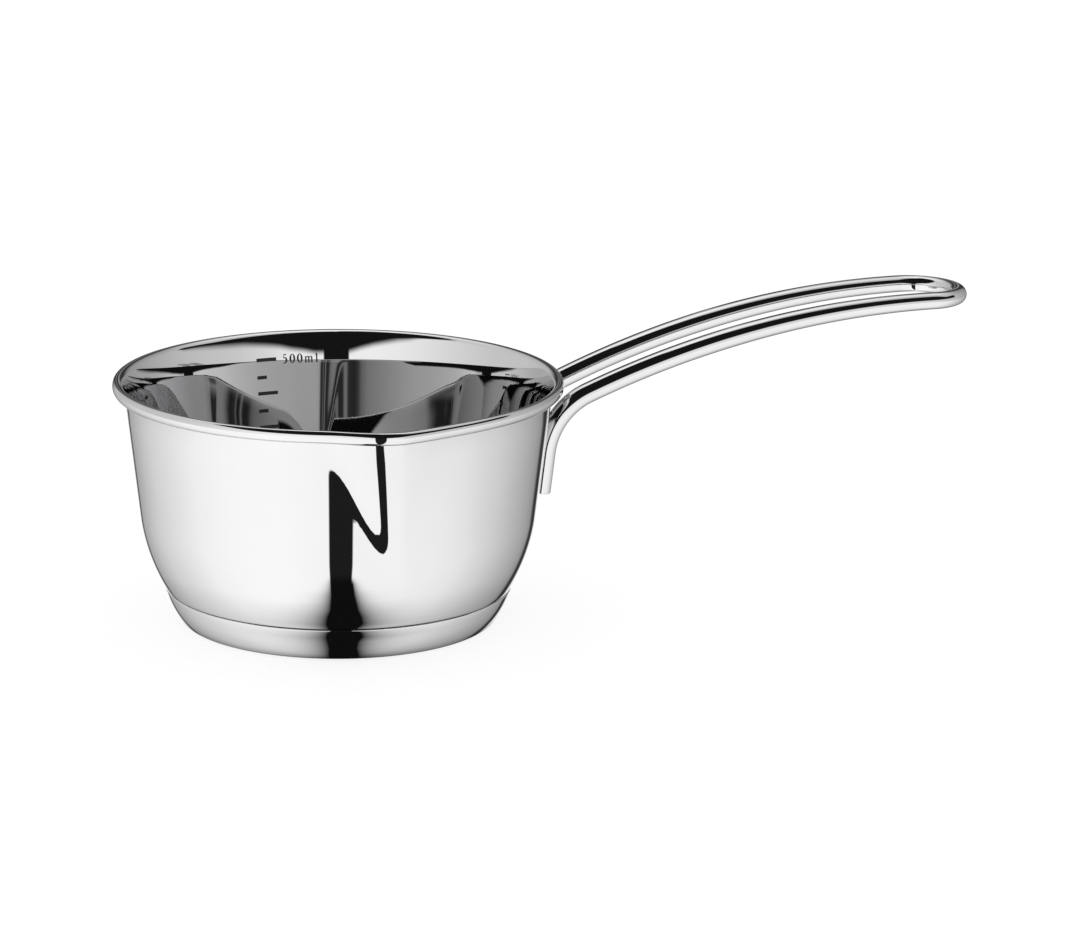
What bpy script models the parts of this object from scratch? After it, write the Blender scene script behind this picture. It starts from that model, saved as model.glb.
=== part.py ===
"""Small spouted saucepan in polished steel.

It has a deep-drawn bowl with a rolled rim and a pouring spout, a capped heat-spreading base,
and a handle bent from one rod.
The axis of the bowl is the Z axis and the underside of the base lies at height zero.
The handle runs out along +X, and the pouring spout points towards -Y.
"""

import math

import bmesh
import bpy

MM = 0.001

# Bowl, outside
BOWL_THICKNESS = 0.8 * MM
SHOULDER_HEIGHT = 10.1 * MM
SHOULDER_RADIUS = 48.33 * MM
SHOULDER_ANGLE = math.radians(60.25)
SIDE_CURVE_RADIUS = 51.7 * MM
WALL_TAPER = math.radians(6.6)
RIM_TOP_HEIGHT = 67.7 * MM
BEAD_OVERHANG = 1.5 * MM
BEAD_RADIUS = 1.5 * MM
BEAD_UNDERCUT_ANGLE = math.radians(225.0)
BEAD_UNDERCUT_DROP = 0.4 * MM

# Bowl, inside
FLOOR_HEIGHT = 8.6 * MM
FLOOR_CORNER_RADIUS = 9.0 * MM
LEDGE_ANGLE = math.radians(37.0)
LEDGE_EDGE_ROUNDING = 0.25 * MM

# Pouring spout
SPOUT_AZIMUTH = math.radians(-95.8)
SPOUT_FACE_ANGLE = math.radians(31.0)
SPOUT_NOSE_ANGLE = math.radians(8.0)
SPOUT_REACH = 9.0 * MM
SPOUT_APEX_HEIGHT = 24.4 * MM
SPOUT_TOP_DROP = 3.25 * MM
SPOUT_RISE_POWER = 1.1
SPOUT_FOLD_SOFTNESS = 0.7 * MM

# Base
JOINT_GAP = 0.3 * MM
CAP_THICKNESS = 0.6 * MM
CAP_INSET = 0.3 * MM
CAP_SIDE_RADIUS = 22.9 * MM
CAP_TOP_ANGLE = math.radians(14.0)
CAP_FOOT_ROUNDING = 1.4 * MM
CORE_SHOULDER_ANGLE = math.radians(25.0)

# Handle
LEG_FOOT_HEIGHT = 32.4 * MM
LEG_STANDOFF = 2.0 * MM
LEG_LENGTH = 11.6 * MM
LEG_EDGE_ROUNDING = 0.4 * MM
BEND_RADIUS = 19.7 * MM
RISE_ANGLE = math.radians(21.4)
SPAN_RADIUS = 281.0 * MM
TIP_ANGLE = math.radians(-0.7)
LEG_SPACING = 17.8 * MM
LOOP_SPACING = 24.6 * MM
ROD_RADIUS = 2.92 * MM
ROD_TIP_RADIUS = 2.43 * MM
ROD_TAPER_START_SHARE = 0.5

# Mesh steps
SPOUT_STEPS = 34
PLAIN_STEPS = 46
BASE_STEPS = 64
SIDE_STEPS = 8
WALL_STEPS = 11
BEAD_STEPS = 10
FLARE_STEPS = 4
CORNER_STEPS = 5
CAP_STEPS = 6
FOOT_STEPS = 4
LIP_STEPS = 4
LEG_STEPS = 2
BEND_STEPS = 9
SPAN_STEPS = 12
LOOP_STEPS = 18
ROD_BEVEL_RESOLUTION = 6
SHARP_ANGLE = math.radians(35.0)
MERGE_DISTANCE = 0.001 * MM

# Looks
POLISHED_STEEL = (0.80, 0.80, 0.81)
ROLLED_ALUMINIUM = (0.72, 0.73, 0.74)
POLISHED_ROUGHNESS = 0.06
ROLLED_ROUGHNESS = 0.30

QUARTER_TURN = math.pi / 2
FULL_TURN = 2 * math.pi


def clear_scene():
    """Remove every object that the file starts with."""
    for obj in list(bpy.data.objects):
        bpy.data.objects.remove(obj, do_unlink=True)


def metal(name, colour, roughness):
    """Return a bare-metal material."""
    material = bpy.data.materials.new(name)
    material.use_nodes = True
    shader = material.node_tree.nodes["Principled BSDF"]
    shader.inputs["Base Color"].default_value = (*colour, 1.0)
    shader.inputs["Metallic"].default_value = 1.0
    shader.inputs["Roughness"].default_value = roughness
    return material


def steps(start, end, count):
    """Return count + 1 values spaced evenly from start to end."""
    return [start + (end - start) * i / count for i in range(count + 1)]


def arc_point(centre, radius, angle):
    """Return a point (radius, height) on a circle, by its angle from the outward direction."""
    return (centre[0] + radius * math.cos(angle), centre[1] + radius * math.sin(angle))


def arc(centre, radius, start, end, count):
    """Return the points (radius, height) along an arc."""
    return [arc_point(centre, radius, angle) for angle in steps(start, end, count)]


def spin_outline(work, outline, start, turns):
    """Spin an outline of (radius, height) points round the axis, through each (angle, steps) turn."""
    across = (math.cos(start), math.sin(start))
    verts = [work.verts.new((radius * across[0], radius * across[1], height)) for radius, height in outline]
    profile = verts + [work.edges.new(ends) for ends in zip(verts, verts[1:])]
    for angle, count in turns:
        spun = bmesh.ops.spin(work, geom=profile, cent=(0, 0, 0), axis=(0, 0, 1), angle=angle, steps=count)
        profile = spun["geom_last"]
    bmesh.ops.remove_doubles(work, verts=work.verts, dist=MERGE_DISTANCE)
    bmesh.ops.recalc_face_normals(work, faces=work.faces)


def finish_object(name, work, material):
    """Turn the worked mesh into a smooth-shaded object."""
    mesh = bpy.data.meshes.new(name)
    work.to_mesh(mesh)
    work.free()
    mesh.shade_smooth()
    mesh.set_sharp_from_angle(angle=SHARP_ANGLE)
    mesh.materials.append(material)
    obj = bpy.data.objects.new(name, mesh)
    bpy.context.scene.collection.objects.link(obj)
    return obj


# The side of the bowl

def side_centre():
    """Return the centre (radius, height) of the curve of the bowl's side."""
    return (
        SHOULDER_RADIUS - SIDE_CURVE_RADIUS * math.sin(SHOULDER_ANGLE),
        SHOULDER_HEIGHT + SIDE_CURVE_RADIUS * math.cos(SHOULDER_ANGLE),
    )


def wall_start():
    """Return the point (radius, height) where the outer curve of the side passes into the straight wall."""
    return arc_point(side_centre(), SIDE_CURVE_RADIUS, -WALL_TAPER)


def outer_radius(height):
    """Return the outer radius of the straight wall, spout left out, at a height."""
    start = wall_start()
    return start[0] + (height - start[1]) * math.tan(WALL_TAPER)


def plain_radius(height):
    """Return the outer radius of the bowl, spout left out, at any height above the shoulder."""
    centre = side_centre()
    if height >= wall_start()[1]:
        return outer_radius(height)
    drop = min(centre[1] - height, SIDE_CURVE_RADIUS)
    return centre[0] + math.sqrt(SIDE_CURVE_RADIUS**2 - drop**2)


def bead_centre():
    """Return the centre (radius, height) of the rolled rim."""
    height = RIM_TOP_HEIGHT - BEAD_RADIUS
    return (outer_radius(height) + BEAD_OVERHANG, height)


def wall_across():
    """Return the thickness of the straight wall, measured level."""
    return BOWL_THICKNESS / math.cos(WALL_TAPER)


def flare():
    """Return the centre (radius, height) and radius of the curve from the inner wall up into the rim."""
    middle = bead_centre()[0]
    room = (middle - outer_radius(RIM_TOP_HEIGHT) + wall_across()) * math.cos(WALL_TAPER)
    radius = room / (1 - math.sin(WALL_TAPER))
    return (middle, RIM_TOP_HEIGHT - radius), radius


def floor_corner():
    """Return the centre (radius, height) of the floor's corner curve and the angle where it ends."""
    centre = side_centre()
    apart = SIDE_CURVE_RADIUS - BOWL_THICKNESS - FLOOR_CORNER_RADIUS
    height = FLOOR_HEIGHT + FLOOR_CORNER_RADIUS
    drop = centre[1] - height
    out = math.sqrt(apart**2 - drop**2)
    return (centre[0] + out, height), math.atan2(drop, out)


# The spout

def spout_swell(azimuth, height):
    """Return how far the spout pushes the wall outward: two flat faces that meet in a rounded nose."""
    crest = RIM_TOP_HEIGHT - SPOUT_TOP_DROP
    base = plain_radius(min(height, crest))
    rise = min(max((height - SPOUT_APEX_HEIGHT) / (crest - SPOUT_APEX_HEIGHT), 0.0), 1.0)
    turn = abs((azimuth - SPOUT_AZIMUTH + math.pi) % FULL_TURN - math.pi)
    if turn < SPOUT_NOSE_ANGLE:
        turn = (turn**2 + SPOUT_NOSE_ANGLE**2) / (2 * SPOUT_NOSE_ANGLE)
    plane = (base + SPOUT_REACH * rise**SPOUT_RISE_POWER) * math.cos(SPOUT_FACE_ANGLE)
    above = plane / math.cos(max(SPOUT_FACE_ANGLE - turn, 0.0)) - base
    if above <= -SPOUT_FOLD_SOFTNESS:
        return 0.0
    if above >= SPOUT_FOLD_SOFTNESS:
        return above
    return (above + SPOUT_FOLD_SOFTNESS) ** 2 / (4 * SPOUT_FOLD_SOFTNESS)


def push_spout(work):
    """Push the turned bowl outward where the spout is."""
    for vert in work.verts:
        radius = math.hypot(vert.co.x, vert.co.y)
        if radius > MERGE_DISTANCE:
            grown = 1 + spout_swell(math.atan2(vert.co.y, vert.co.x), vert.co.z) / radius
            vert.co.x *= grown
            vert.co.y *= grown


# The bowl

def outer_outline():
    """Return the bowl's outline from under its floor, out over the ledge and up to the bead."""
    corner = floor_corner()[0]
    under = FLOOR_CORNER_RADIUS + BOWL_THICKNESS
    points = [(0.0, FLOOR_HEIGHT - BOWL_THICKNESS)]
    points += arc(corner, under, -QUARTER_TURN, LEDGE_ANGLE - QUARTER_TURN, CORNER_STEPS)
    points.append((SHOULDER_RADIUS - LEDGE_EDGE_ROUNDING, ledge_height()))
    points += arc(side_centre(), SIDE_CURVE_RADIUS, SHOULDER_ANGLE - QUARTER_TURN, -WALL_TAPER, SIDE_STEPS)
    undercut = arc_point(bead_centre(), BEAD_RADIUS, BEAD_UNDERCUT_ANGLE)
    for height in steps(points[-1][1], undercut[1] - BEAD_UNDERCUT_DROP, WALL_STEPS)[1:]:
        points.append((outer_radius(height), height))
    return points


def inner_outline():
    """Return the bowl's outline over the bead, down the inner wall and in to the middle of the floor."""
    centre, radius = flare()
    corner, turn = floor_corner()
    points = arc(bead_centre(), BEAD_RADIUS, BEAD_UNDERCUT_ANGLE - FULL_TURN, QUARTER_TURN, BEAD_STEPS)
    points += arc(centre, radius, QUARTER_TURN, math.pi - WALL_TAPER, FLARE_STEPS)[1:]
    inner = SIDE_CURVE_RADIUS - BOWL_THICKNESS
    curve = arc(side_centre(), inner, -WALL_TAPER, -turn, SIDE_STEPS)
    for height in steps(points[-1][1], curve[0][1], WALL_STEPS)[1:-1]:
        points.append((outer_radius(height) - wall_across(), height))
    points += curve
    points += arc(corner, FLOOR_CORNER_RADIUS, -turn, -QUARTER_TURN, CORNER_STEPS)[1:]
    points.append((0.0, FLOOR_HEIGHT))
    return points


def make_bowl():
    """Make the deep-drawn bowl with its rolled rim and spout, its mesh closer together across the spout."""
    reach = SPOUT_FACE_ANGLE + SPOUT_NOSE_ANGLE / 2
    turns = ((2 * reach, SPOUT_STEPS), (FULL_TURN - 2 * reach, PLAIN_STEPS))
    work = bmesh.new()
    spin_outline(work, outer_outline() + inner_outline(), SPOUT_AZIMUTH - reach, turns)
    push_spout(work)
    return finish_object("bowl", work, metal("bowl_steel", POLISHED_STEEL, POLISHED_ROUGHNESS))


# The base

def ledge_height():
    """Return the height of the ledge of the bowl that overhangs the base cap."""
    under = FLOOR_CORNER_RADIUS + BOWL_THICKNESS
    return floor_corner()[0][1] - under * math.cos(LEDGE_ANGLE)


def cap_top():
    """Return the point (radius, height) where the outer side of the cap passes into its rounded lip."""
    return (SHOULDER_RADIUS - CAP_INSET, ledge_height() - JOINT_GAP - CAP_THICKNESS / 2)


def cap_side_centre():
    """Return the centre (radius, height) of the curve of the cap's side."""
    top = cap_top()
    return (
        top[0] - CAP_SIDE_RADIUS * math.cos(CAP_TOP_ANGLE),
        top[1] + CAP_SIDE_RADIUS * math.sin(CAP_TOP_ANGLE),
    )


def cap_foot():
    """Return the centre (radius, height) of the cap's rounded foot and the angle where it ends."""
    side = cap_side_centre()
    apart = CAP_SIDE_RADIUS - CAP_FOOT_ROUNDING
    drop = side[1] - CAP_FOOT_ROUNDING
    out = math.sqrt(apart**2 - drop**2)
    return (side[0] + out, CAP_FOOT_ROUNDING), math.atan2(drop, out)


def cap_skin(depth, top_angle):
    """Return the points at a depth under the cap's outer surface, from its foot up its side."""
    foot, turn = cap_foot()
    points = arc(foot, CAP_FOOT_ROUNDING - depth, -QUARTER_TURN, -turn, FOOT_STEPS)
    points += arc(cap_side_centre(), CAP_SIDE_RADIUS - depth, -turn, -top_angle, CAP_STEPS)[1:]
    return points


def make_base_cap():
    """Make the steel cap that encloses the base."""
    lip = CAP_THICKNESS / 2
    middle = arc_point(cap_side_centre(), CAP_SIDE_RADIUS - lip, -CAP_TOP_ANGLE)
    points = [(0.0, 0.0)]
    points += cap_skin(0.0, CAP_TOP_ANGLE)
    points += arc(middle, lip, -CAP_TOP_ANGLE, math.pi - CAP_TOP_ANGLE, LIP_STEPS)[1:]
    points += reversed(cap_skin(CAP_THICKNESS, CAP_TOP_ANGLE)[:-1])
    points.append((0.0, CAP_THICKNESS))
    work = bmesh.new()
    spin_outline(work, points, 0.0, ((FULL_TURN, BASE_STEPS),))
    return finish_object("base_cap", work, metal("cap_steel", POLISHED_STEEL, POLISHED_ROUGHNESS))


def make_base_core():
    """Make the heat-spreading disc between the bowl and the base cap."""
    depth = CAP_THICKNESS + JOINT_GAP
    under = FLOOR_CORNER_RADIUS + BOWL_THICKNESS + JOINT_GAP
    crown = arc(floor_corner()[0], under, CORE_SHOULDER_ANGLE - QUARTER_TURN, -QUARTER_TURN, CORNER_STEPS)
    meet = math.asin((cap_side_centre()[1] - crown[0][1]) / (CAP_SIDE_RADIUS - depth))
    points = [(0.0, depth)]
    points += cap_skin(depth, meet)
    points += crown
    points.append((0.0, crown[-1][1]))
    work = bmesh.new()
    spin_outline(work, points, 0.0, ((FULL_TURN, BASE_STEPS),))
    return finish_object("base_core", work, metal("core_aluminium", ROLLED_ALUMINIUM, ROLLED_ROUGHNESS))


# The handle

def leg_angle():
    """Return the direction of the legs, which follow the taper of the wall."""
    return QUARTER_TURN - WALL_TAPER


def leg_foot():
    """Return how far out along the handle the middle of the rods is at their lower ends."""
    radius = outer_radius(LEG_FOOT_HEIGHT) + LEG_STANDOFF / math.cos(WALL_TAPER)
    return math.sqrt(radius**2 - (LEG_SPACING / 2) ** 2)


def bend_length():
    """Return the length of rod in the bend above a leg."""
    return BEND_RADIUS * (leg_angle() - RISE_ANGLE)


def span_length():
    """Return the length of rod in the long upper curve."""
    return SPAN_RADIUS * (RISE_ANGLE - TIP_ANGLE)


def side_view(distance):
    """Return the place along X and the height of the handle's middle line, at a distance from the foot."""
    x = leg_foot()
    height = LEG_FOOT_HEIGHT
    angle = leg_angle()
    part = min(distance, LEG_LENGTH)
    x += part * math.cos(angle)
    height += part * math.sin(angle)
    distance -= LEG_LENGTH
    for radius, length in ((BEND_RADIUS, bend_length()), (SPAN_RADIUS, span_length())):
        part = min(max(distance, 0.0), length)
        after = angle - part / radius
        x += radius * (math.sin(angle) - math.sin(after))
        height += radius * (math.cos(after) - math.cos(angle))
        angle = after
        distance -= length
    part = max(distance, 0.0)
    return x + part * math.cos(angle), height + part * math.sin(angle)


def loop_path():
    """Return the handle's middle line laid flat, as (distance, sideways) points from foot to foot."""
    centre = LEG_LENGTH + bend_length() + span_length()
    radius = LOOP_SPACING / 2
    start = LEG_SPACING / 2
    spread = math.asin(radius / math.hypot(centre, start)) - math.atan2(start, centre)
    touch = centre - radius * math.sin(spread)
    stops = [0.0]
    stops += steps(LEG_EDGE_ROUNDING, LEG_LENGTH, LEG_STEPS)
    stops += steps(LEG_LENGTH, LEG_LENGTH + bend_length(), BEND_STEPS)[1:]
    stops += steps(LEG_LENGTH + bend_length(), touch, SPAN_STEPS)[1:]
    rail = [(stop, start + stop * math.tan(spread)) for stop in stops]
    bow = arc((centre, 0.0), radius, QUARTER_TURN + spread, -QUARTER_TURN - spread, LOOP_STEPS)[1:-1]
    back = [(stop, -offset) for stop, offset in reversed(rail)]
    return rail + bow + back


def rod_share(distance, reach):
    """Return the rod's radius as a share of that of the legs: thinner to the tip, rounded at the foot."""
    start = ROD_TAPER_START_SHARE * reach
    share = min(max((distance - start) / (reach - start), 0.0), 1.0)
    radius = ROD_RADIUS + (ROD_TIP_RADIUS - ROD_RADIUS) * share
    if distance == 0:
        radius -= LEG_EDGE_ROUNDING
    return radius / ROD_RADIUS


def press_legs(mesh):
    """Flatten the rods where they would enter the wall, so that they stand a joint's gap from it."""
    for vert in mesh.vertices:
        radius = math.hypot(vert.co.x, vert.co.y)
        clear = outer_radius(vert.co.z) + JOINT_GAP / math.cos(WALL_TAPER)
        if radius < clear:
            vert.co.x *= clear / radius
            vert.co.y *= clear / radius


def make_handle():
    """Make the handle, one rod bent into a loop whose ends are pressed flat against the wall."""
    path = loop_path()
    reach = max(distance for distance, offset in path)
    curve = bpy.data.curves.new("handle_loop", "CURVE")
    curve.dimensions = "3D"
    curve.fill_mode = "FULL"
    curve.bevel_depth = ROD_RADIUS
    curve.bevel_resolution = ROD_BEVEL_RESOLUTION
    curve.use_fill_caps = True
    spline = curve.splines.new("POLY")
    spline.points.add(len(path) - 1)
    for point, (distance, offset) in zip(spline.points, path):
        x, height = side_view(distance)
        point.co = (x, offset, height, 1)
        point.radius = rod_share(distance, reach)
    curve.materials.append(metal("handle_steel", POLISHED_STEEL, POLISHED_ROUGHNESS))
    rod = bpy.data.objects.new("rod", curve)
    bpy.context.scene.collection.objects.link(rod)
    mesh = bpy.data.meshes.new_from_object(rod.evaluated_get(bpy.context.evaluated_depsgraph_get()))
    bpy.data.objects.remove(rod, do_unlink=True)
    press_legs(mesh)
    mesh.name = "handle_loop"
    obj = bpy.data.objects.new("handle_loop", mesh)
    bpy.context.scene.collection.objects.link(obj)
    return obj


def main():
    """Build the saucepan."""
    clear_scene()
    make_bowl()
    make_base_core()
    make_base_cap()
    make_handle()


main()
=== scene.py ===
"""Looks of the small spouted saucepan: polished steel, a pale floor and soft studio light."""

import math

import bpy
from mathutils import Matrix, Vector


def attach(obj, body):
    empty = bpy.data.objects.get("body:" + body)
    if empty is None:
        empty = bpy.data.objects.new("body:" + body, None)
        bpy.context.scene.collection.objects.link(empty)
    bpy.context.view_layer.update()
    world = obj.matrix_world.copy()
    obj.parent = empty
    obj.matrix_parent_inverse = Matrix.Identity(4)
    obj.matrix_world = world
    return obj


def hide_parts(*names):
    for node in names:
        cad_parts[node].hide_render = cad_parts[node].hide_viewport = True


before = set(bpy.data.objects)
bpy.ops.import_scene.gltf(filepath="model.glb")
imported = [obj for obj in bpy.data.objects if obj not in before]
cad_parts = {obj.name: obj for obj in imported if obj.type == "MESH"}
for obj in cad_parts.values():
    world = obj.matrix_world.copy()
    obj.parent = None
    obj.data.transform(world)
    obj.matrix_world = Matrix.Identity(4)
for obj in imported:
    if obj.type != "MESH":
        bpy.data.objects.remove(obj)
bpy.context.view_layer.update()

MM = 0.001

# Camera, as it stood for the photograph
PICTURE_WIDTH = 1080
FOCAL_PIXELS = 4344.8
CAMERA_PLACE = Vector((55.58, -1162.15, 341.17)) * MM
CAMERA_PITCH = math.radians(14.408)
CAMERA_ROLL = math.radians(0.604)
HANDLE_TURN = math.radians(-21.84)

# Bowl, as in the solids but for its finer rim: flare, lip and curl
BOWL_THICKNESS = 0.8 * MM
SHOULDER_HEIGHT = 10.1 * MM
SHOULDER_RADIUS = 48.33 * MM
SHOULDER_ANGLE = math.radians(60.25)
SIDE_CURVE_RADIUS = 51.7 * MM
WALL_TAPER = math.radians(6.6)
RIM_TOP_HEIGHT = 67.7 * MM
BEAD_OVERHANG = 1.5 * MM
BEAD_RADIUS = 1.5 * MM
BEAD_UNDERCUT_ANGLE = math.radians(225.0)
BEAD_UNDERCUT_DROP = 0.4 * MM
FLARE_RADIUS = 38.0 * MM
LIP_RADIUS = 1.95 * MM
LIP_ANGLE = math.radians(19.0)
CURL_HEIGHT = 66.1 * MM
CURL_DROP = 1.95 * MM
FLOOR_HEIGHT = 8.6 * MM
FLOOR_CORNER_RADIUS = 9.0 * MM
LEDGE_ANGLE = math.radians(37.0)
LEDGE_EDGE_ROUNDING = 0.25 * MM

# Pouring spout, finer than in the solids: left and right are as seen from outside
SPOUT_AZIMUTH = math.radians(-94.5)
SPOUT_LEAN = math.radians(3.25)
SPOUT_REACH = 4.15 * MM
SPOUT_APEX_HEIGHT = 27.0 * MM
SPOUT_FADE_HEIGHT = 14.0 * MM
SPOUT_TOP_DROP = 3.25 * MM
SPOUT_RISE_POWER = 0.82
SPOUT_SPREAD = math.radians(36.0)
SPOUT_LEFT_FACE = math.radians(28.9)
SPOUT_LEFT_WIDENING = math.radians(9.0)
SPOUT_LEFT_NOSE = math.radians(11.4)
SPOUT_LEFT_FOLD = 0.79 * MM
SPOUT_RIGHT_FACE = math.radians(14.95)
SPOUT_RIGHT_EASING = math.radians(5.8)
SPOUT_RIGHT_HOLLOW = 0.18
SPOUT_RIGHT_HOLLOW_END = math.radians(20.0)
SPOUT_RIGHT_NOSE = math.radians(1.3)
SPOUT_RIGHT_FOLD = 1.7 * MM
SPOUT_FOLD_BLEND = math.radians(6.0)

# Base cap
JOINT_GAP = 0.3 * MM
CAP_THICKNESS = 0.6 * MM
CAP_INSET = 0.3 * MM
CAP_SIDE_RADIUS = 22.9 * MM
CAP_TOP_ANGLE = math.radians(14.0)
CAP_FOOT_ROUNDING = 1.4 * MM

# Handle
LEG_FOOT_HEIGHT = 32.4 * MM
LEG_STANDOFF = 2.0 * MM
LEG_LENGTH = 11.6 * MM
LEG_EDGE_ROUNDING = 0.4 * MM
BEND_RADIUS = 19.7 * MM
RISE_ANGLE = math.radians(21.4)
SPAN_RADIUS = 281.0 * MM
TIP_ANGLE = math.radians(-0.7)
LEG_SPACING = 17.8 * MM
LOOP_SPACING = 24.6 * MM
ROD_RADIUS = 2.92 * MM
ROD_TIP_RADIUS = 2.43 * MM
ROD_TAPER_START_SHARE = 0.5

# Measuring scale on the inner wall
MARK_START_AZIMUTH = math.radians(95.0)
MARKS = ((41.0, 6.0), (45.7, 2.9), (50.7, 6.0), (55.3, 2.9), (60.3, 6.0))
MARK_THICKNESS = 1.0 * MM
FIGURE_START_AZIMUTH = math.radians(87.0)
FIGURE_BASE_HEIGHT = 58.85 * MM
FIGURE_GROWTH = 1.07
FIGURE_WEIGHT = 1.5
FIGURE_RELIEF = 2.0
ETCH_DEPTH = 0.02 * MM

QUARTER_TURN = math.pi / 2
FULL_TURN = 2 * math.pi
MERGE_DISTANCE = 0.0005 * MM


def steps(start, end, count):
    """Return count + 1 values spaced evenly from start to end."""
    return [start + (end - start) * i / count for i in range(count + 1)]


def arc_point(centre, radius, angle):
    """Return a point (radius, height) on a circle, by its angle from the outward direction."""
    return (centre[0] + radius * math.cos(angle), centre[1] + radius * math.sin(angle))


def arc(centre, radius, start, end, count):
    """Return the points (radius, height) along an arc."""
    return [arc_point(centre, radius, angle) for angle in steps(start, end, count)]


# Handwork: lines of points, turning, finishing

def deselect_all():
    """Leave edit mode and select nothing."""
    if bpy.context.object and bpy.context.object.mode != "OBJECT":
        bpy.ops.object.mode_set(mode="OBJECT")
    bpy.ops.object.select_all(action="DESELECT")


def draw_line(name, points):
    """Draw a line of points by extruding one corner of a small ring from each point to the next."""
    deselect_all()
    bpy.ops.mesh.primitive_circle_add(
        vertices=3, radius=MM, fill_type="NOTHING", location=(0, 0, 0)
    )
    line = bpy.context.object
    line.name = name
    line.data.name = name
    bpy.ops.object.mode_set(mode="EDIT")
    bpy.ops.mesh.select_mode(type="VERT")
    bpy.ops.mesh.select_all(action="DESELECT")
    bpy.ops.object.mode_set(mode="OBJECT")
    for vertex in line.data.vertices[1:]:
        vertex.select = True
    first = line.data.vertices[0].co.copy()
    bpy.ops.object.mode_set(mode="EDIT")
    bpy.ops.mesh.delete(type="VERT")
    bpy.ops.mesh.select_all(action="SELECT")
    bpy.ops.transform.translate(value=Vector(points[0]) - first)
    for here, after in zip(points, points[1:]):
        step = Vector(after) - Vector(here)
        bpy.ops.mesh.extrude_region_move(TRANSFORM_OT_translate={"value": step})
    bpy.ops.object.mode_set(mode="OBJECT")
    return line


def turn_outline(name, outline, start, turns):
    """Spin an outline of (radius, height) points round the axis by each (angle, steps) turn."""
    east, north = math.cos(start), math.sin(start)
    points = [(radius * east, radius * north, height) for radius, height in outline]
    piece = draw_line(name, points)
    bpy.ops.object.mode_set(mode="EDIT")
    bpy.ops.mesh.select_all(action="SELECT")
    for angle, count in turns:
        bpy.ops.mesh.spin(steps=count, angle=angle, center=(0, 0, 0), axis=(0, 0, 1))
    bpy.ops.mesh.select_all(action="SELECT")
    bpy.ops.mesh.remove_doubles(threshold=MERGE_DISTANCE)
    bpy.ops.mesh.normals_make_consistent(inside=False)
    bpy.ops.object.mode_set(mode="OBJECT")
    return piece


def smooth(piece, angle=35.0):
    """Shade a piece smooth, but for edges that turn more than an angle in degrees."""
    deselect_all()
    piece.select_set(True)
    bpy.context.view_layer.objects.active = piece
    bpy.ops.object.shade_smooth_by_angle(angle=math.radians(angle))


def fit(piece, material, slot, *nodes):
    """Give a piece its material, hang it on the pan, and let it stand for its solids. The slot is
    not used.
    """
    piece.data.materials.clear()
    piece.data.materials.append(material)
    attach(piece, "root")
    if nodes:
        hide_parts(*nodes)


# The side of the bowl

def side_centre():
    """Return the centre (radius, height) of the curve of the bowl's side."""
    return (
        SHOULDER_RADIUS - SIDE_CURVE_RADIUS * math.sin(SHOULDER_ANGLE),
        SHOULDER_HEIGHT + SIDE_CURVE_RADIUS * math.cos(SHOULDER_ANGLE),
    )


def wall_start():
    """Return the point (radius, height) where the side's curve passes into the straight wall."""
    return arc_point(side_centre(), SIDE_CURVE_RADIUS, -WALL_TAPER)


def outer_radius(height):
    """Return the outer radius of the straight wall, spout left out, at a height."""
    start = wall_start()
    return start[0] + (height - start[1]) * math.tan(WALL_TAPER)


def plain_radius(height):
    """Return the outer radius of the bowl, spout left out, at any height above the shoulder."""
    centre = side_centre()
    if height >= wall_start()[1]:
        return outer_radius(height)
    drop = min(centre[1] - height, SIDE_CURVE_RADIUS)
    return centre[0] + math.sqrt(SIDE_CURVE_RADIUS**2 - drop**2)


def bead_centre():
    """Return the centre (radius, height) of the rolled rim."""
    height = RIM_TOP_HEIGHT - BEAD_RADIUS
    return (outer_radius(height) + BEAD_OVERHANG, height)


def wall_across():
    """Return the thickness of the straight wall, measured level."""
    return BOWL_THICKNESS / math.cos(WALL_TAPER)


def flare_start():
    """Return the height at which the wall begins to flare out to the rim."""
    lip = LIP_RADIUS * (1 - math.sin(LIP_ANGLE))
    return RIM_TOP_HEIGHT - lip - FLARE_RADIUS * (math.sin(LIP_ANGLE) - math.sin(WALL_TAPER))


def flare_swell(height):
    """Return how far the flare carries the wall out at a height."""
    rise = max(height - flare_start(), 0.0)
    lean = math.asin(math.sin(WALL_TAPER) + rise / FLARE_RADIUS)
    return FLARE_RADIUS * (math.cos(WALL_TAPER) - math.cos(lean)) - rise * math.tan(WALL_TAPER)


def inner_radius(height):
    """Return the radius of the inner wall at a height, spout left out."""
    return outer_radius(height) + flare_swell(height) - wall_across()


def floor_corner():
    """Return the centre (radius, height) of the floor's corner curve and the angle it ends at."""
    centre = side_centre()
    apart = SIDE_CURVE_RADIUS - BOWL_THICKNESS - FLOOR_CORNER_RADIUS
    height = FLOOR_HEIGHT + FLOOR_CORNER_RADIUS
    drop = centre[1] - height
    out = math.sqrt(apart**2 - drop**2)
    return (centre[0] + out, height), math.atan2(drop, out)


def ease(value, start, end):
    """Return a soft step from 0 at the start to 1 at the end."""
    share = min(max((value - start) / (end - start), 0.0), 1.0)
    return share * share * (3 - 2 * share)


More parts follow.
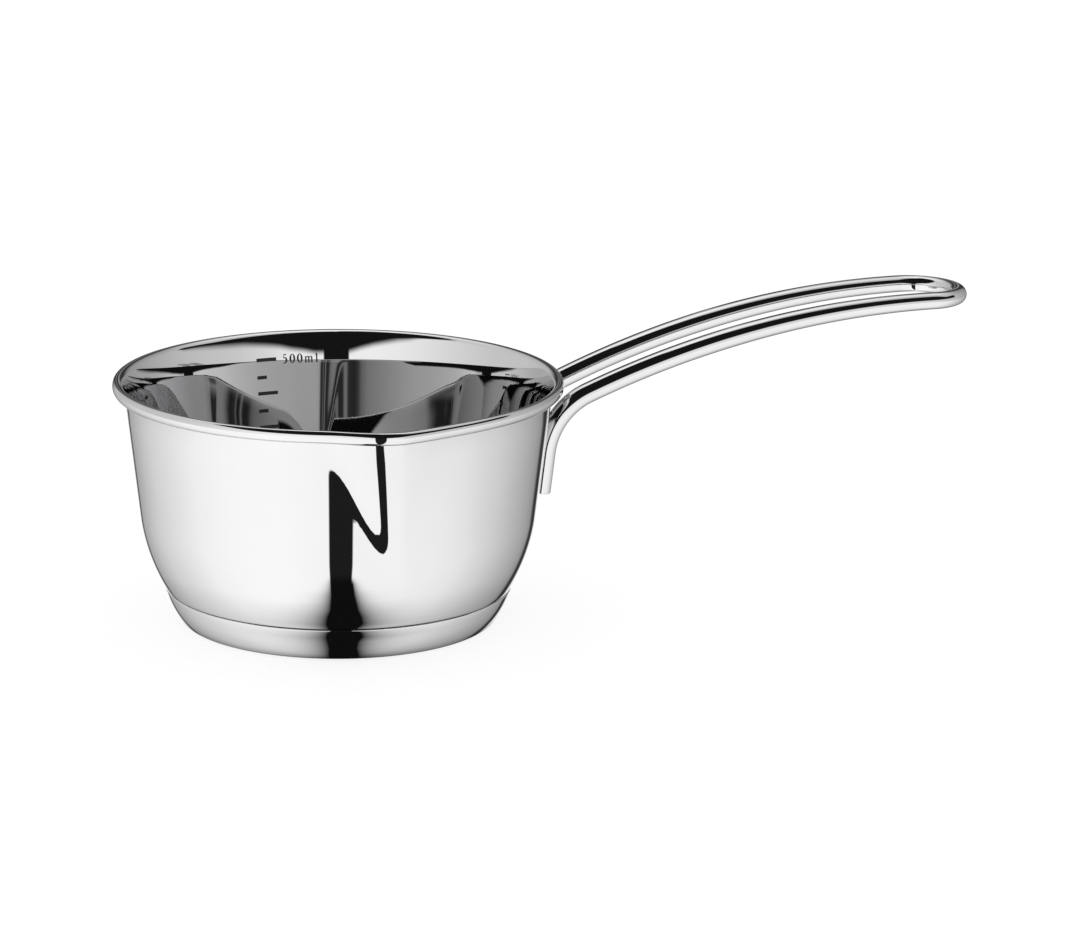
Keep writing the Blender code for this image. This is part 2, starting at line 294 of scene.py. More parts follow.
def spout_swell(azimuth, height):
    """Return how far the spout pushes the wall outward at a place.

    It has a flat left face, a hollow right face and a nose that leans as it goes down.
    """
    crest = RIM_TOP_HEIGHT - SPOUT_TOP_DROP
    base = plain_radius(min(height, crest))
    climb = (height - SPOUT_APEX_HEIGHT) / (crest - SPOUT_APEX_HEIGHT)
    low = 1 - min(max(climb, -0.2), 1.0)
    reach = SPOUT_REACH * min(max(climb, 0.0), 1.0) ** SPOUT_RISE_POWER
    turn = (azimuth - SPOUT_AZIMUTH - SPOUT_LEAN * low + math.pi) % FULL_TURN - math.pi
    nose = SPOUT_LEFT_NOSE if turn < 0 else SPOUT_RIGHT_NOSE
    aside = abs(turn)
    if aside < nose:
        aside = (aside**2 + nose**2) / (2 * nose)
    if turn < 0:
        face = SPOUT_LEFT_FACE + SPOUT_LEFT_WIDENING * low
        above = (base + reach) * math.cos(face - nose / 2) / math.cos(max(face - aside, 0.0)) - base
    else:
        slope = math.tan(SPOUT_RIGHT_FACE - SPOUT_RIGHT_EASING * low)
        along = aside - nose / 2
        near = min(along, SPOUT_RIGHT_HOLLOW_END)
        fall = slope * along - SPOUT_RIGHT_HOLLOW * near * (2 * along - near)
        above = reach - base * fall
    fold = SPOUT_LEFT_FOLD
    fold += (SPOUT_RIGHT_FOLD - fold) * ease(turn, -SPOUT_FOLD_BLEND, SPOUT_FOLD_BLEND)
    if above <= -fold:
        return 0.0
    swell = above if above >= fold else (above + fold) ** 2 / (4 * fold)
    return swell * ease(height, SPOUT_FADE_HEIGHT, SPOUT_APEX_HEIGHT)


# The bowl

def ledge_height():
    """Return the height of the ledge of the bowl that overhangs the base cap."""
    under = FLOOR_CORNER_RADIUS + BOWL_THICKNESS
    return floor_corner()[0][1] - under * math.cos(LEDGE_ANGLE)


def outer_outline():
    """Return the bowl's outline from under the floor's middle, over the ledge, to the bead."""
    corner = floor_corner()[0]
    under = FLOOR_CORNER_RADIUS + BOWL_THICKNESS
    points = [(0.0, FLOOR_HEIGHT - BOWL_THICKNESS)]
    points += arc(corner, under, -QUARTER_TURN, LEDGE_ANGLE - QUARTER_TURN, 8)
    points.append((SHOULDER_RADIUS - LEDGE_EDGE_ROUNDING, ledge_height()))
    points += arc(side_centre(), SIDE_CURVE_RADIUS, SHOULDER_ANGLE - QUARTER_TURN, -WALL_TAPER, 22)
    undercut = arc_point(bead_centre(), BEAD_RADIUS, BEAD_UNDERCUT_ANGLE)
    for height in steps(points[-1][1], undercut[1] - BEAD_UNDERCUT_DROP, 30)[1:]:
        points.append((outer_radius(height) + flare_swell(height), height))
    return points


def inner_outline():
    """Return the bowl's outline over the bead, down inside and in to the floor's middle."""
    corner, turn = floor_corner()
    lip_foot = RIM_TOP_HEIGHT - LIP_RADIUS * (1 - math.sin(LIP_ANGLE))
    lip = (inner_radius(lip_foot) + LIP_RADIUS * math.cos(LIP_ANGLE), RIM_TOP_HEIGHT - LIP_RADIUS)
    middle = bead_centre()[0]
    shoulder = middle + BEAD_RADIUS - lip[0]
    points = []
    for angle in steps(BEAD_UNDERCUT_ANGLE - FULL_TURN, 0.0, 18):
        drop = CURL_DROP * math.sin(angle)
        points.append((middle + BEAD_RADIUS * math.cos(angle), CURL_HEIGHT + drop))
    for angle in steps(0.0, QUARTER_TURN, 12)[1:]:
        rise = (RIM_TOP_HEIGHT - CURL_HEIGHT) * math.sin(angle)
        points.append((lip[0] + shoulder * math.cos(angle), CURL_HEIGHT + rise))
    points += arc(lip, LIP_RADIUS, QUARTER_TURN, math.pi - LIP_ANGLE, 14)[1:]
    for height in steps(lip_foot, flare_start(), 14)[1:]:
        points.append((inner_radius(height), height))
    inner = SIDE_CURVE_RADIUS - BOWL_THICKNESS
    curve = arc(side_centre(), inner, -WALL_TAPER, -turn, 18)
    for height in steps(points[-1][1], curve[0][1], 22)[1:-1]:
        points.append((inner_radius(height), height))
    points += curve
    points += arc(corner, FLOOR_CORNER_RADIUS, -turn, -QUARTER_TURN, 16)[1:]
    points.append((0.0, FLOOR_HEIGHT))
    return points


def make_bowl():
    """Turn the bowl from its outline, then press the spout out of it, point by point."""
    turns = ((2 * SPOUT_SPREAD, 204), (FULL_TURN - 2 * SPOUT_SPREAD, 240))
    start = SPOUT_AZIMUTH - SPOUT_SPREAD
    bowl = turn_outline("polished_bowl", outer_outline() + inner_outline(), start, turns)
    for vertex in bowl.data.vertices:
        radius = math.hypot(vertex.co.x, vertex.co.y)
        if radius > MERGE_DISTANCE:
            grown = 1 + spout_swell(math.atan2(vertex.co.y, vertex.co.x), vertex.co.z) / radius
            vertex.co.x *= grown
            vertex.co.y *= grown
    smooth(bowl)
    return bowl


# The base cap

def cap_side():
    """Return the top and the centre of the cap's side curve, each as (radius, height)."""
    top = (SHOULDER_RADIUS - CAP_INSET, ledge_height() - JOINT_GAP - CAP_THICKNESS / 2)
    centre = (
        top[0] - CAP_SIDE_RADIUS * math.cos(CAP_TOP_ANGLE),
        top[1] + CAP_SIDE_RADIUS * math.sin(CAP_TOP_ANGLE),
    )
    return top, centre


def cap_skin(depth):
    """Return the points at a depth under the cap's outer surface, from the foot up to its lip."""
    side = cap_side()[1]
    apart = CAP_SIDE_RADIUS - CAP_FOOT_ROUNDING
    drop = side[1] - CAP_FOOT_ROUNDING
    out = math.sqrt(apart**2 - drop**2)
    foot, turn = (side[0] + out, CAP_FOOT_ROUNDING), math.atan2(drop, out)
    points = arc(foot, CAP_FOOT_ROUNDING - depth, -QUARTER_TURN, -turn, 14)
    points += arc(side, CAP_SIDE_RADIUS - depth, -turn, -CAP_TOP_ANGLE, 18)[1:]
    return points


def make_base_cap():
    """Turn the steel cap that encloses the base."""
    lip = CAP_THICKNESS / 2
    middle = arc_point(cap_side()[1], CAP_SIDE_RADIUS - lip, -CAP_TOP_ANGLE)
    points = [(0.0, 0.0)]
    points += cap_skin(0.0)
    points += arc(middle, lip, -CAP_TOP_ANGLE, math.pi - CAP_TOP_ANGLE, 12)[1:]
    points += reversed(cap_skin(CAP_THICKNESS)[:-1])
    points.append((0.0, CAP_THICKNESS))
    cap = turn_outline("polished_base_cap", points, 0.0, ((FULL_TURN, 288),))
    smooth(cap)
    return cap


# The handle

def bend_length():
    """Return the length of rod in the bend above a leg."""
    return BEND_RADIUS * (QUARTER_TURN - WALL_TAPER - RISE_ANGLE)


def span_length():
    """Return the length of rod in the long upper curve."""
    return SPAN_RADIUS * (RISE_ANGLE - TIP_ANGLE)


def side_view(distance):
    """Return the X and the height of the handle's middle line at a distance from its foot."""
    radius = outer_radius(LEG_FOOT_HEIGHT) + LEG_STANDOFF / math.cos(WALL_TAPER)
    x = math.sqrt(radius**2 - (LEG_SPACING / 2) ** 2)
    height = LEG_FOOT_HEIGHT
    angle = QUARTER_TURN - WALL_TAPER
    part = min(distance, LEG_LENGTH)
    x += part * math.cos(angle)
    height += part * math.sin(angle)
    distance -= LEG_LENGTH
    for radius, length in ((BEND_RADIUS, bend_length()), (SPAN_RADIUS, span_length())):
        part = min(max(distance, 0.0), length)
        after = angle - part / radius
        x += radius * (math.sin(angle) - math.sin(after))
        height += radius * (math.cos(after) - math.cos(angle))
        angle = after
        distance -= length
    part = max(distance, 0.0)
    return x + part * math.cos(angle), height + part * math.sin(angle)


def foot_rounding():
    """Return the (distance, loss of radius) steps of the rounded edge at the lower end of a rod."""
    return [
        (LEG_EDGE_ROUNDING * (1 - math.cos(angle)), LEG_EDGE_ROUNDING * (1 - math.sin(angle)))
        for angle in steps(0.0, QUARTER_TURN, 5)
    ]


def loop_path():
    """Return the handle's middle line laid flat, as (distance, sideways) points, foot to foot."""
    centre = LEG_LENGTH + bend_length() + span_length()
    radius = LOOP_SPACING / 2
    start = LEG_SPACING / 2
    spread = math.asin(radius / math.hypot(centre, start)) - math.atan2(start, centre)
    touch = centre - radius * math.sin(spread)
    stops = [distance for distance, loss in foot_rounding()]
    stops += steps(LEG_EDGE_ROUNDING, LEG_LENGTH, 8)[1:]
    stops += steps(LEG_LENGTH, LEG_LENGTH + bend_length(), 40)[1:]
    stops += steps(LEG_LENGTH + bend_length(), touch, 70)[1:]
    rail = [(stop, start + stop * math.tan(spread)) for stop in stops]
    bow = arc((centre, 0.0), radius, QUARTER_TURN + spread, -QUARTER_TURN - spread, 80)[1:-1]
    back = [(stop, -offset) for stop, offset in reversed(rail)]
    return rail + bow + back


def rod_radius(distance, reach):
    """Return the rod's radius: thinner to the tip, rounded at the foot."""
    start = ROD_TAPER_START_SHARE * reach
    share = min(max((distance - start) / (reach - start), 0.0), 1.0)
    radius = ROD_RADIUS + (ROD_TIP_RADIUS - ROD_RADIUS) * share
    for place, loss in foot_rounding():
        if abs(distance - place) < MERGE_DISTANCE:
            radius -= loss
    return radius


def make_handle():
    """Bend the rod along its middle line, thicken it and press its ends flat to the wall."""
    path = loop_path()
    reach = max(distance for distance, offset in path)
    line = []
    for distance, offset in path:
        x, height = side_view(distance)
        line.append((x, offset, height))
    handle = draw_line("polished_handle", line)
    deselect_all()
    handle.select_set(True)
    bpy.context.view_layer.objects.active = handle
    bpy.ops.object.convert(target="CURVE")
    handle = bpy.context.object
    curve = handle.data
    curve.bevel_depth = ROD_RADIUS
    curve.bevel_resolution = 22
    curve.use_fill_caps = True
    points = curve.splines[0].points
    for point in points:
        nearest = min(range(len(line)), key=lambda i: (Vector(line[i]) - point.co.xyz).length)
        point.radius = rod_radius(path[nearest][0], reach) / ROD_RADIUS
    bpy.ops.object.convert(target="MESH")
    handle = bpy.context.object
    for vertex in handle.data.vertices:
        radius = math.hypot(vertex.co.x, vertex.co.y)
        clear = outer_radius(vertex.co.z) + JOINT_GAP / math.cos(WALL_TAPER)
        if radius < clear:
            vertex.co.x *= clear / radius
            vertex.co.y *= clear / radius
    bpy.ops.object.mode_set(mode="EDIT")
    bpy.ops.mesh.select_all(action="SELECT")
    bpy.ops.mesh.remove_doubles(threshold=MERGE_DISTANCE)
    bpy.ops.mesh.normals_make_consistent(inside=False)
    bpy.ops.object.mode_set(mode="OBJECT")
    smooth(handle)
    return handle


# The measuring scale

def lay_on_wall(piece, start, base):
    """Lay flat marks on the inner wall: across runs round the wall and up runs up it."""
    for vertex in piece.data.vertices:
        height = base + vertex.co.y
        radius = inner_radius(height) - ETCH_DEPTH * (1 + vertex.co.z / MM)
        azimuth = start - vertex.co.x / radius
        vertex.co = (radius * math.cos(azimuth), radius * math.sin(azimuth), height)


def join_pieces(pieces, name):
    """Join finished pieces into one."""
    deselect_all()
    for piece in pieces:
        piece.select_set(True)
    bpy.context.view_layer.objects.active = pieces[0]
    bpy.ops.object.join()
    joined = bpy.context.object
    joined.name = name
    joined.data.name = name
    return joined


def make_dashes():
    """Make the five dashes of the scale, each a thin plate cut to length and laid on the wall."""
    dashes = []
    for height, length in MARKS:
        deselect_all()
        bpy.ops.mesh.primitive_cube_add(size=MM, location=(0, 0, 0))
        dash = bpy.context.object
        bpy.ops.object.mode_set(mode="EDIT")
        bpy.ops.mesh.select_all(action="SELECT")
        bpy.ops.transform.resize(value=(length, MARK_THICKNESS / MM, 1.0))
        bpy.ops.transform.translate(value=(length * MM / 2, 0, 0))
        bpy.ops.mesh.subdivide(number_cuts=9)
        bpy.ops.object.mode_set(mode="OBJECT")
        lay_on_wall(dash, MARK_START_AZIMUTH, height * MM)
        dashes.append(dash)
    return join_pieces(dashes, "scale_dashes")


def stem(x, low, high):
    """Return the strokes of an upright stem that stands on a fine foot line."""
    return [
        [(x, low, 0.14), (x, high, 0.14)],
        [(x - 0.3, low, 0.05), (x + 0.3, low, 0.05)],
    ]


def figure_strokes():
    """Return the strokes (points of across, up and half width, in mm) of the half-litre figure."""
    strokes = [
        [(0.26, 2.34, 0.08), (0.62, 2.34, 0.11), (1.08, 2.44, 0.06)],
        [(0.27, 2.36, 0.06), (0.17, 1.44, 0.06)],
        [(0.17, 1.44, 0.06), (0.50, 1.55, 0.09), (0.82, 1.42, 0.15), (1.00, 1.10, 0.19),
         (1.00, 0.66, 0.19), (0.80, 0.28, 0.14), (0.44, 0.08, 0.08), (0.14, 0.12, 0.13)],
    ]
    for left in (1.99, 4.16):
        loop = []
        for turn in steps(0.0, FULL_TURN, 28):
            half = 0.07 + 0.12 * math.cos(turn) ** 2
            loop.append((left + 0.77 + 0.58 * math.cos(turn), 1.22 + 1.15 * math.sin(turn), half))
        strokes.append(loop)
    for x in (6.68, 7.55, 8.42):
        strokes += stem(x, 0.05, 1.42)
    bow = ((0.08, 1.26, 0.05), (0.34, 1.58, 0.08), (0.64, 1.60, 0.11), (0.87, 1.36, 0.14))
    for x in (6.68, 7.55):
        strokes.append([(x + along, up, half) for along, up, half in bow])
    strokes.append([(6.36, 1.56, 0.05), (6.68, 1.62, 0.07), (6.68, 1.40, 0.13)])
    strokes += stem(9.86, 0.05, 2.40)
    strokes.append([(9.54, 2.34, 0.05), (9.86, 2.42, 0.08)])
    return strokes


def make_figure():
    """Make the half-litre figure, pen stroke by pen stroke, and lay it on the wall."""
    written = []
    for stroke in figure_strokes():
        stroke = [(x, y * FIGURE_GROWTH, half * FIGURE_WEIGHT) for x, y, half in stroke]
        line = draw_line("stroke", [(x * MM, y * MM, 0.0) for x, y, half in stroke])
        deselect_all()
        line.select_set(True)
        bpy.context.view_layer.objects.active = line
        bpy.ops.object.convert(target="CURVE")
        curve = bpy.context.object.data
        curve.bevel_depth = MM
        curve.bevel_resolution = 3
        curve.use_fill_caps = True
        for point in curve.splines[0].points:
            x, y = point.co.x, point.co.y
            nearest = min(stroke, key=lambda dot: math.hypot(dot[0] * MM - x, dot[1] * MM - y))
            point.radius = nearest[2]
        bpy.ops.object.convert(target="MESH")
        written.append(bpy.context.object)
    figure = join_pieces(written, "scale_figure")
    for vertex in figure.data.vertices:
        vertex.co.z *= FIGURE_RELIEF
    lay_on_wall(figure, FIGURE_START_AZIMUTH, FIGURE_BASE_HEIGHT)
    return figure


# Finishes

STEEL = (0.62, 0.62, 0.625)
CAP_STEEL = (0.615, 0.615, 0.62)
SMUDGED_SHARE = 0.97
SMUDGED_ROUGHNESS = 1.8
ROUND_LINES = (60, 60, 4000)
ROD_LINES = (60, 2500, 2500)


def new_material(name):
    """Return a fresh material with its nodes, its links and its shader."""
    material = bpy.data.materials.new(name)
    material.use_nodes = True
    tree = material.node_tree
    return material, tree.nodes, tree.links, tree.nodes["Principled BSDF"]


def speckle(nodes, links, place, scale, detail):
    """Add a noise pattern over the surface and return its strength."""
    noise = nodes.new("ShaderNodeTexNoise")
    noise.inputs["Scale"].default_value = scale
    noise.inputs["Detail"].default_value = detail
    links.new(place, noise.inputs["Vector"])
    return noise.outputs["Fac"]


def tint(nodes, links, share, shader, dark, pale):
    """Colour the shader from a dark to a pale (stop, colour) by a share."""
    ramp = nodes.new("ShaderNodeValToRGB")
    for element, (stop, colour) in zip(ramp.color_ramp.elements, (dark, pale)):
        element.position = stop
        element.color = (*colour, 1.0)
    links.new(share, ramp.inputs["Fac"])
    links.new(ramp.outputs["Color"], shader.inputs["Base Color"])


def dull(nodes, links, share, shader, start, end, low, high):
    """Raise the shader's roughness from low to high as a share goes from its start to its end."""
    spread = nodes.new("ShaderNodeMapRange")
    names = ("From Min", "From Max", "To Min", "To Max")
    for name, number in zip(names, (start, end, low, high)):
        spread.inputs[name].default_value = number
    links.new(share, spread.inputs["Value"])
    links.new(spread.outputs["Result"], shader.inputs["Roughness"])


def roughen(nodes, links, height, shader, strength, distance):
    """Give the shader a fine relief."""
    bump = nodes.new("ShaderNodeBump")
    bump.inputs["Strength"].default_value = strength
    bump.inputs["Distance"].default_value = distance
    links.new(height, bump.inputs["Height"])
    links.new(bump.outputs["Normal"], shader.inputs["Normal"])


def polished_steel(name, colour, roughness, line_scale):
    """Return mirror-polished steel with fine turning lines and faint smudges."""
    material, nodes, links, shader = new_material(name)
    shader.inputs["Metallic"].default_value = 1.0
    place = nodes.new("ShaderNodeTexCoord").outputs["Object"]
    smudge = speckle(nodes, links, place, 38.0, 5.0)
    smeared = [part * SMUDGED_SHARE for part in colour]
    tint(nodes, links, smudge, shader, (0.30, smeared), (0.70, colour))
    dull(nodes, links, smudge, shader, 0.35, 0.75, roughness, roughness * SMUDGED_ROUGHNESS)
    stretch = nodes.new("ShaderNodeMapping")
    stretch.inputs["Scale"].default_value = line_scale
    links.new(place, stretch.inputs["Vector"])
    lines = speckle(nodes, links, stretch.outputs["Vector"], 1.0, 3.0)
    roughen(nodes, links, lines, shader, 0.01, 0.004 * MM)
    return material


def satin_aluminium(name):
    """Return the satin aluminium of the pressed core, with turning marks and a grey bloom."""
    material, nodes, links, shader = new_material(name)
    shader.inputs["Metallic"].default_value = 1.0
    place = nodes.new("ShaderNodeTexCoord").outputs["Object"]
    bloom = speckle(nodes, links, place, 90.0, 5.0)
    tint(nodes, links, bloom, shader, (0.3, (0.58, 0.59, 0.6)), (0.7, (0.72, 0.73, 0.74)))
    dull(nodes, links, bloom, shader, 0.0, 1.0, 0.3, 0.5)
    rings = nodes.new("ShaderNodeTexWave")
    rings.wave_type = "RINGS"
    rings.rings_direction = "Z"
    rings.inputs["Scale"].default_value = 900.0
    rings.inputs["Distortion"].default_value = 0.6
    links.new(place, rings.inputs["Vector"])
    roughen(nodes, links, rings.outputs["Fac"], shader, 0.2, 0.02 * MM)
    return material


def etched_grey(name):
    """Return the dull dark grey of an etched scale, a little uneven."""
    material, nodes, links, shader = new_material(name)
    place = nodes.new("ShaderNodeTexCoord").outputs["Object"]
    grain = speckle(nodes, links, place, 2600.0, 3.0)
    tint(nodes, links, grain, shader, (0.0, (0.012, 0.012, 0.014)), (1.0, (0.045, 0.045, 0.05)))
    shader.inputs["Roughness"].default_value = 0.6
    return material


# The pan

bowl = make_bowl()
bowl_finish = polished_steel("bowl_mirror_steel", STEEL, 0.01, ROUND_LINES)
fit(bowl, bowl_finish, "bowl_steel", "bowl")
base_cap = make_base_cap()
cap_finish = polished_steel("cap_mirror_steel", CAP_STEEL, 0.02, ROUND_LINES)
fit(base_cap, cap_finish, "cap_steel", "base_cap")
handle = make_handle()
handle_finish = polished_steel("handle_mirror_steel", STEEL, 0.015, ROD_LINES)
fit(handle, handle_finish, "handle_steel", "handle_loop")
etched = etched_grey("etched_scale")
fit(make_dashes(), etched, "bowl_steel")
fit(make_figure(), etched, "bowl_steel")
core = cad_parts["base_core"]
core.data.materials.clear()
core.data.materials.append(satin_aluminium("core_satin_aluminium"))


# The studio

def make_camera():
    """Stand the camera where it stood for the photograph."""
    data = bpy.data.cameras.new("camera")
    data.sensor_fit = "HORIZONTAL"
    data.sensor_width = 36.0
    data.lens = FOCAL_PIXELS / PICTURE_WIDTH * data.sensor_width
    data.clip_end = 20.0
    camera = bpy.data.objects.new("camera", data)
    bpy.context.scene.collection.objects.link(camera)
    turn = Matrix.Rotation(HANDLE_TURN, 4, "Z")
    pitch = Matrix.Rotation(QUARTER_TURN - CAMERA_PITCH, 4, "X")
    aim = pitch @ Matrix.Rotation(CAMERA_ROLL, 4, "Z")
    camera.matrix_world = turn @ Matrix.Translation(CAMERA_PLACE) @ aim
    bpy.context.scene.camera = camera


class Sums:
    """Sums on the numbers of a shader. Each adds its nodes and returns what comes out of them."""

    def __init__(self, tree):
        self.nodes, self.links = tree.nodes, tree.links

    def put(self, value, socket):
        """Put a plain number or another node's outcome into a socket."""
        if isinstance(value, (int, float)):
            socket.default_value = value
        else:
            self.links.new(value, socket)

    def maths(self, operation, *values):
        """Return one sum of its values."""
        node = self.nodes.new("ShaderNodeMath")
        node.operation = operation
        for value, socket in zip(values, node.inputs):
            self.put(value, socket)
        return node.outputs["Value"]

    def ease(self, value, start, end, low=0.0, high=1.0):
        """Return a soft step from low at the start to high at the end."""
        node = self.nodes.new("ShaderNodeMapRange")
        node.interpolation_type = "SMOOTHSTEP"
        names = ("Value", "From Min", "From Max", "To Min", "To Max")
        for name, number in zip(names, (value, start, end, low, high)):
            self.put(number, node.inputs[name])
        return node.outputs["Result"]

    def table(self, value, stops):
        """Return the level that (stop, level) rows give for a value."""
        node = self.nodes.new("ShaderNodeValToRGB")
        ramp = node.color_ramp
        ramp.elements.remove(ramp.elements[1])
        ramp.elements[0].position = stops[0][0]
        ramp.elements[0].color = (*[stops[0][1]] * 3, 1)
        for place, level in stops[1:]:
            ramp.elements.new(place).color = (*[level] * 3, 1)
        self.put(value, node.inputs["Fac"])
        return node.outputs["Color"]

    def blend(self, share, low, high):
        """Return low where the share is 0 and high where it is 1."""
        rest = self.maths("SUBTRACT", 1.0, share)
        return self.maths("ADD", self.maths("MULTIPLY", rest, low),
                          self.maths("MULTIPLY", share, high))

    def turned(self, vector):
        """Return a vector's numbers across, away from and above the studio's front."""
        turn = self.nodes.new("ShaderNodeMapping")
        turn.inputs["Rotation"].default_value = (0, 0, -HANDLE_TURN)
        self.links.new(vector, turn.inputs["Vector"])
        parts = self.nodes.new("ShaderNodeSeparateXYZ")
        self.links.new(turn.outputs["Vector"], parts.inputs["Vector"])
        return parts.outputs


def by_degrees(*stops):
    """Return ramp stops from (degrees, level) pairs.

    Degrees go from -180 behind, over the left at -90, the front at 0 and the right at 90, to 180.
    """
    return [((degrees + 180) / 360, level) for degrees, level in stops]


# How bright the steel sees the studio, by direction
LOW_SKY = by_degrees(
    (-180, .03), (-177, .04), (-175.5, .27), (-173, .06), (-165, .03), (-161, .1), (-156, .3),
    (-150, .47), (-120, .6), (-90, .64), (-72, .72), (-45, .88), (-19, .98), (22, .97), (33, .88),
    (44, .76), (60, .66), (82, .6), (96, .56), (110, .5), (130, .4), (150, .3), (157, .2),
    (161, .06), (165, .03), (172, .04), (174.5, .27), (176, .27), (178, .04), (180, .03))
HIGH_SKY = by_degrees(
    (-180, 1.0), (-150, 1.0), (-120, .8), (-90, .55), (-60, .4), (0, .4), (60, .4), (90, .5),
    (120, .8), (150, 1.0), (180, 1.0))
GROUND = by_degrees(
    (-180, .85), (-168, .75), (-165, .5), (-162.5, .06), (-159.5, .06), (-157, .33), (-145, .46),
    (-135, .58), (-125, .69), (-105, .85), (-85, 1.0), (-65, 1.06), (-50, 1.08), (-30, 1.08),
    (0, 1.04), (45, 1.01), (65, .97), (75, .93), (85, .87), (95, .78), (105, .7), (125, .52),
    (145, .35), (152, .27), (156, .04), (161, .02), (163.5, .1), (166, .7), (170, .8), (180, .85))
# Where the dark ceiling begins and ends, as shares of the way from the horizon to straight up
CEILING_EDGE = by_degrees(*[(degrees, rise / 90) for degrees, rise in (
    (-180, 87), (-120, 76), (-93, 55), (-60, 35), (-46, 25.5), (-38, 22), (-31, 20.7),
    (-24, 18.7), (-17, 16.7), (-10, 13.8), (-3, 10.2), (4, 9.5), (16, 9.5), (22, 11.5),
    (29, 13), (36, 15.3), (43, 16.3), (57, 17.3), (65, 16.8), (80, 16.2), (97, 15.6),
    (105, 24), (115, 50), (128, 75), (180, 87))])
CEILING_TOP = by_degrees((-180, 1.0), (60, 1.0), (72, .66), (85, .4), (110, .36), (180, .36))
CEILING_SOFTNESS = 0.04
CEILING_TOP_SOFTNESS = 0.06
HIGH_SKY_START = 0.36
HIGH_SKY_END = 0.74
GROUND_EDGE = -0.10
SKY_EDGE = -0.05
# The dark gap in front
GAP_MIDDLE = math.radians(4.0)
GAP_HALF = math.sin(math.radians(7.0))
GAP_SOFTNESS = 0.008
FRONT_SOFTNESS = 0.05
STUDIO_LEVEL = 1.4
DARK = 0.008

# The painted shade on the floor round the base, by the distance from the axis in units of 100 mm
SHADE_UNIT = 100.0 * MM
SHADE_LEVEL = [(0.43, 0.4), (0.45, 0.85), (0.48, 0.9), (0.58, 0.93), (0.66, 1.0)]
SHADE_MIDDLE = [(0.47, 0.034), (0.50, 0.036), (0.53, 0.045), (0.60, 0.050), (0.70, 0.053),
                (0.80, 0.057)]
SHADE_HALF = [(0.47, 0.040), (0.50, 0.048), (0.53, 0.063), (0.56, 0.063), (0.60, 0.055),
              (0.70, 0.055), (0.80, 0.06)]
SHADE_SPREAD = [(0.47, 0.075), (0.50, 0.085), (0.525, 0.11), (0.55, 0.095), (0.60, 0.075),
                (0.65, 0.052), (0.70, 0.042), (0.75, 0.026), (0.80, 0.019), (0.90, 0.01)]
SHADE_FRONT = -10.0 * MM
SHADE_FADE_START = 80.0 * MM
SHADE_FADE_END = 95.0 * MM
SHADE_GLOW = 0.007
FLOOR_SIZE = 8.0
FLOOR_DROP = 0.1 * MM
FLOOR_GREY = 0.24
FLOOR_GLOW = 0.8
WHITE = (1, 1, 1, 1)


def make_world():
    """Light the pan with a pale room that has a dark ceiling and a dark gap in front."""
    world = bpy.data.worlds.new("studio")
    bpy.context.scene.world = world
    world.use_nodes = True
    tree = world.node_tree
    sums = Sums(tree)
    place = tree.nodes.new("ShaderNodeTexCoord")
    across, deep, up = sums.turned(place.outputs["Generated"])
    forward = sums.maths("MULTIPLY", deep, -1.0)
    around = sums.maths("ARCTAN2", across, forward)
    turn = sums.maths("ADD", sums.maths("DIVIDE", around, FULL_TURN), 0.5)
    lift = sums.maths("DIVIDE", sums.maths("ARCSINE", up), QUARTER_TURN)
    high = sums.ease(lift, HIGH_SKY_START, HIGH_SKY_END)
    sky = sums.blend(high, sums.table(turn, LOW_SKY), sums.table(turn, HIGH_SKY))
    over = sums.maths("SUBTRACT", lift, sums.table(turn, CEILING_EDGE))
    above = sums.ease(over, -CEILING_SOFTNESS, CEILING_SOFTNESS)
    beyond = sums.maths("SUBTRACT", lift, sums.table(turn, CEILING_TOP))
    past = sums.ease(beyond, 0.0, CEILING_TOP_SOFTNESS)
    ceiling = sums.maths("MULTIPLY", above, sums.maths("SUBTRACT", 1.0, past))
    sky = sums.blend(ceiling, sky, DARK)
    raised = sums.ease(lift, GROUND_EDGE, SKY_EDGE)
    level = sums.blend(raised, sums.table(turn, GROUND), sky)
    aside = sums.maths("SINE", sums.maths("SUBTRACT", around, GAP_MIDDLE))
    aside = sums.maths("ABSOLUTE", aside)
    off = sums.ease(aside, GAP_HALF - GAP_SOFTNESS, GAP_HALF + GAP_SOFTNESS)
    behind = sums.ease(forward, -FRONT_SOFTNESS, FRONT_SOFTNESS, 1.0, 0.0)
    level = sums.blend(sums.maths("MAXIMUM", off, behind), DARK, level)
    path = tree.nodes.new("ShaderNodeLightPath")
    mirrored = sums.maths("MULTIPLY", level, STUDIO_LEVEL)
    strength = sums.blend(path.outputs["Is Glossy Ray"], 1.0, mirrored)
    strength = sums.blend(path.outputs["Is Camera Ray"], strength, 1.0)
    background = tree.nodes["Background"]
    background.inputs["Color"].default_value = WHITE
    tree.links.new(strength, background.inputs["Strength"])


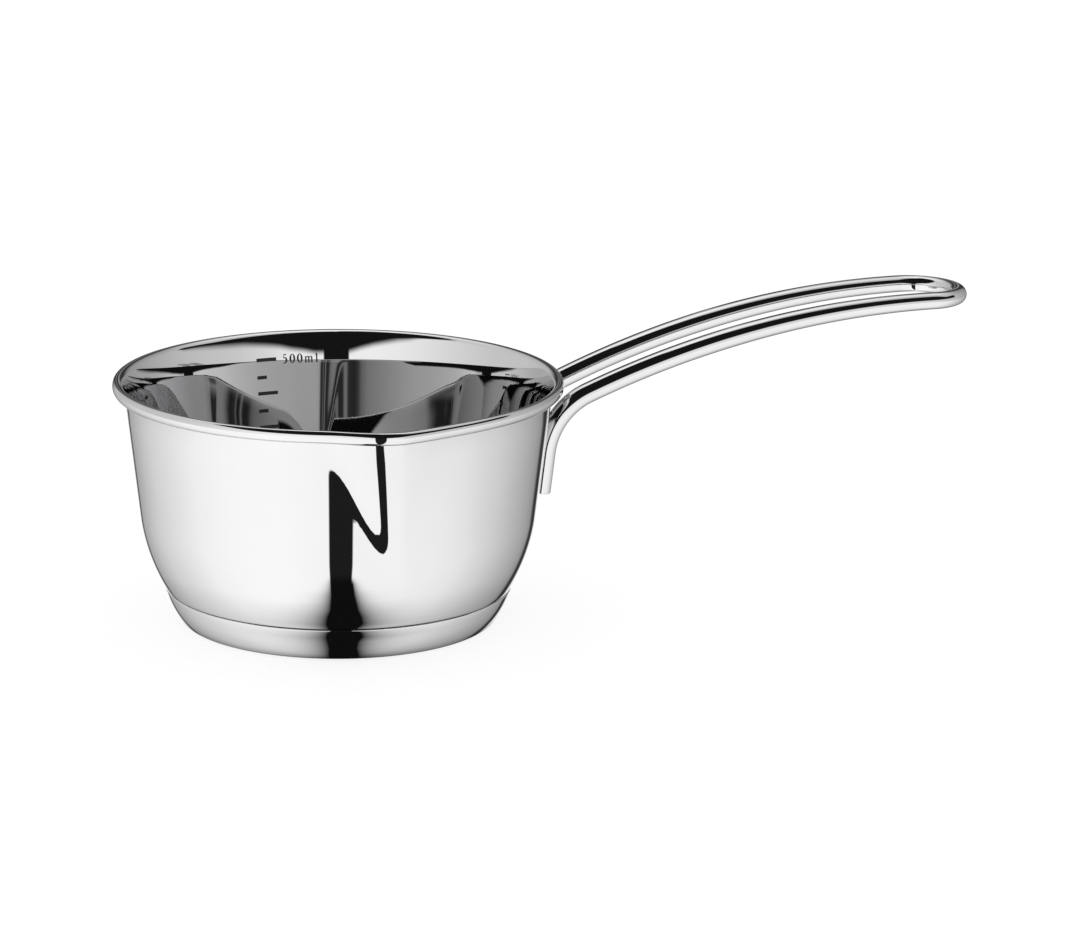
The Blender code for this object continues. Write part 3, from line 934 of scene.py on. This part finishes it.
def painted_floor_shade(sums, place):
    """Return how much the steel sees through the floor: less close round the base, where a shade is
    painted into it.
    """
    across, deep, _ = sums.turned(place)
    squares = [sums.maths("MULTIPLY", part, part) for part in (across, deep)]
    out = sums.maths("SQRT", sums.maths("ADD", *squares))
    away = sums.maths("DIVIDE", out, SHADE_UNIT)
    aside = sums.maths("DIVIDE", across, SHADE_UNIT)
    aside = sums.maths("SUBTRACT", aside, sums.table(away, SHADE_MIDDLE))
    aside = sums.maths("ABSOLUTE", aside)
    aside = sums.maths("SUBTRACT", aside, sums.table(away, SHADE_HALF))
    aside = sums.maths("MAXIMUM", aside, 0.0)
    spread = sums.maths("MULTIPLY", sums.table(away, SHADE_SPREAD), -1.0)
    fade = sums.maths("EXPONENT", sums.maths("DIVIDE", aside, spread))
    fade = sums.maths("MULTIPLY", fade, sums.ease(deep, SHADE_FRONT, 0.0, 1.0, 0.0))
    end = sums.ease(out, SHADE_FADE_START, SHADE_FADE_END, 1.0, 0.0)
    lit = sums.maths("SUBTRACT", 1.0, sums.maths("MULTIPLY", fade, end))
    return sums.maths("MULTIPLY", lit, sums.table(away, SHADE_LEVEL))


def make_floor():
    """Lay the pale floor, which the steel sees through but for the painted shade round the base."""
    deselect_all()
    bpy.ops.mesh.primitive_plane_add(size=FLOOR_SIZE, location=(0, 0, -FLOOR_DROP))
    bpy.ops.object.transform_apply(location=True)
    floor = bpy.context.object
    floor.name = "floor"
    material, nodes, links, shader = new_material("pale_floor")
    shader.inputs["Base Color"].default_value = (FLOOR_GREY, FLOOR_GREY, FLOOR_GREY, 1)
    shader.inputs["Roughness"].default_value = 1.0
    shader.inputs["Specular IOR Level"].default_value = 0.0
    shader.inputs["Emission Color"].default_value = WHITE
    shader.inputs["Emission Strength"].default_value = FLOOR_GLOW
    place = nodes.new("ShaderNodeTexCoord").outputs["Object"]
    clear = nodes.new("ShaderNodeBsdfTransparent")
    # The steel sees the floor through a painted shade round the base
    links.new(painted_floor_shade(Sums(material.node_tree), place), clear.inputs["Color"])
    glow = nodes.new("ShaderNodeEmission")
    glow.inputs["Strength"].default_value = SHADE_GLOW
    seen = nodes.new("ShaderNodeAddShader")
    links.new(clear.outputs["BSDF"], seen.inputs[0])
    links.new(glow.outputs["Emission"], seen.inputs[1])
    path = nodes.new("ShaderNodeLightPath")
    either = nodes.new("ShaderNodeMixShader")
    links.new(path.outputs["Is Glossy Ray"], either.inputs["Fac"])
    links.new(shader.outputs["BSDF"], either.inputs[1])
    links.new(seen.outputs["Shader"], either.inputs[2])
    links.new(either.outputs["Shader"], nodes["Material Output"].inputs["Surface"])
    floor.data.materials.append(material)


make_camera()
make_world()
make_floor()
bpy.context.scene.cycles.glossy_bounces = 12
bpy.context.scene.cycles.max_bounces = 14
bpy.context.scene.view_settings.view_transform = "Standard"
